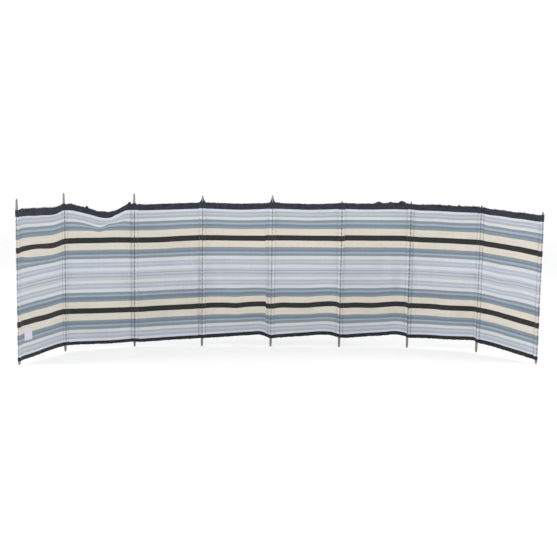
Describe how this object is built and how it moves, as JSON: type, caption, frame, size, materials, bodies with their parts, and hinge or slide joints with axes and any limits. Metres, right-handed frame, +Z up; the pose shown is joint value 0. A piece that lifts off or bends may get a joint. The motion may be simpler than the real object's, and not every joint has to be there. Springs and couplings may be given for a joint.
{
  "type": "beach windbreak",
  "caption": "Striped cloth windbreak in bays between round wooden poles with pointed feet, each bay turning about the poles it hangs on.",
  "frame": {"origin": "centre of the flat foot of the middle pole (pole 5), at ground level", "axes": "+Z up along the poles, +X along the windbreak to the right as seen from its front, +Y away from the front"},
  "size_m": [4.2093, 0.9948, 1.343],
  "materials": {
    "pole_wood": "weathered round softwood",
    "sleeve_cloth": "woven striped cloth, sewn pocket",
    "striped_cloth": "woven striped cloth",
    "hem_cloth": "woven navy cloth, turned and sewn",
    "patch_cloth": "plain sewn patch"
  },
  "bodies": {
    "middle_pole": {"pole_5": "pole_wood", "sleeve_5": "sleeve_cloth"},
    "bay_1": {"panel_1": "striped_cloth", "top_hem_1": "hem_cloth", "bottom_hem_1": "hem_cloth", "pole_1": "pole_wood", "sleeve_1": "sleeve_cloth", "sewn_patch": "patch_cloth"},
    "bay_2": {"panel_2": "striped_cloth", "top_hem_2": "hem_cloth", "bottom_hem_2": "hem_cloth", "pole_2": "pole_wood", "sleeve_2": "sleeve_cloth"},
    "bay_3": {"panel_3": "striped_cloth", "top_hem_3": "hem_cloth", "bottom_hem_3": "hem_cloth", "pole_3": "pole_wood", "sleeve_3": "sleeve_cloth"},
    "bay_4": {"panel_4": "striped_cloth", "top_hem_4": "hem_cloth", "bottom_hem_4": "hem_cloth", "pole_4": "pole_wood", "sleeve_4": "sleeve_cloth"},
    "bay_5": {"panel_5": "striped_cloth", "top_hem_5": "hem_cloth", "bottom_hem_5": "hem_cloth", "pole_6": "pole_wood", "sleeve_6": "sleeve_cloth"},
    "bay_6": {"panel_6": "striped_cloth", "top_hem_6": "hem_cloth", "bottom_hem_6": "hem_cloth", "pole_7": "pole_wood", "sleeve_7": "sleeve_cloth"},
    "bay_7": {"panel_7": "striped_cloth", "top_hem_7": "hem_cloth", "bottom_hem_7": "hem_cloth", "pole_8": "pole_wood", "sleeve_8": "sleeve_cloth"},
    "bay_8": {"panel_8": "striped_cloth", "top_hem_8": "hem_cloth", "bottom_hem_8": "hem_cloth", "pole_9": "pole_wood", "sleeve_9": "sleeve_cloth"}
  },
  "joints": [
    {"name": "bay_4_turns_at_pole_5", "type": "hinge", "parent": "middle_pole", "child": "bay_4", "pos_m": [0, 0, 0], "axis": [0, 0, -1], "range_deg": [-67.5, 67.5]},
    {"name": "bay_3_turns_at_pole_4", "type": "hinge", "parent": "bay_4", "child": "bay_3", "pos_m": [-0.60742, -0.02652, 0], "axis": [0, 0, 1], "range_deg": [-139, 131]},
    {"name": "bay_2_turns_at_pole_3", "type": "hinge", "parent": "bay_3", "child": "bay_2", "pos_m": [-1.19363, -0.09331, 0], "axis": [0, 0, -1], "range_deg": [-115.5, 154.5]},
    {"name": "bay_1_turns_at_pole_2", "type": "hinge", "parent": "bay_2", "child": "bay_1", "pos_m": [-1.74189, -0.36072, 0], "axis": [0, 0, 1], "range_deg": [-176, 94]},
    {"name": "bay_5_turns_at_pole_5", "type": "hinge", "parent": "middle_pole", "child": "bay_5", "pos_m": [0, 0, 0], "axis": [0, 0, 1], "range_deg": [-67.5, 67.5]},
    {"name": "bay_6_turns_at_pole_6", "type": "hinge", "parent": "bay_5", "child": "bay_6", "pos_m": [0.60963, 0.02129, 0], "axis": [0, 0, -1], "range_deg": [-135, 135]},
    {"name": "bay_7_turns_at_pole_7", "type": "hinge", "parent": "bay_6", "child": "bay_7", "pos_m": [1.21726, 0.04251, 0], "axis": [0, 0, 1], "range_deg": [-117.5, 152.5]},
    {"name": "bay_8_turns_at_pole_8", "type": "hinge", "parent": "bay_7", "child": "bay_8", "pos_m": [1.80314, -0.11997, 0], "axis": [0, 0, -1], "range_deg": [-168.5, 101.5]}
  ]
}
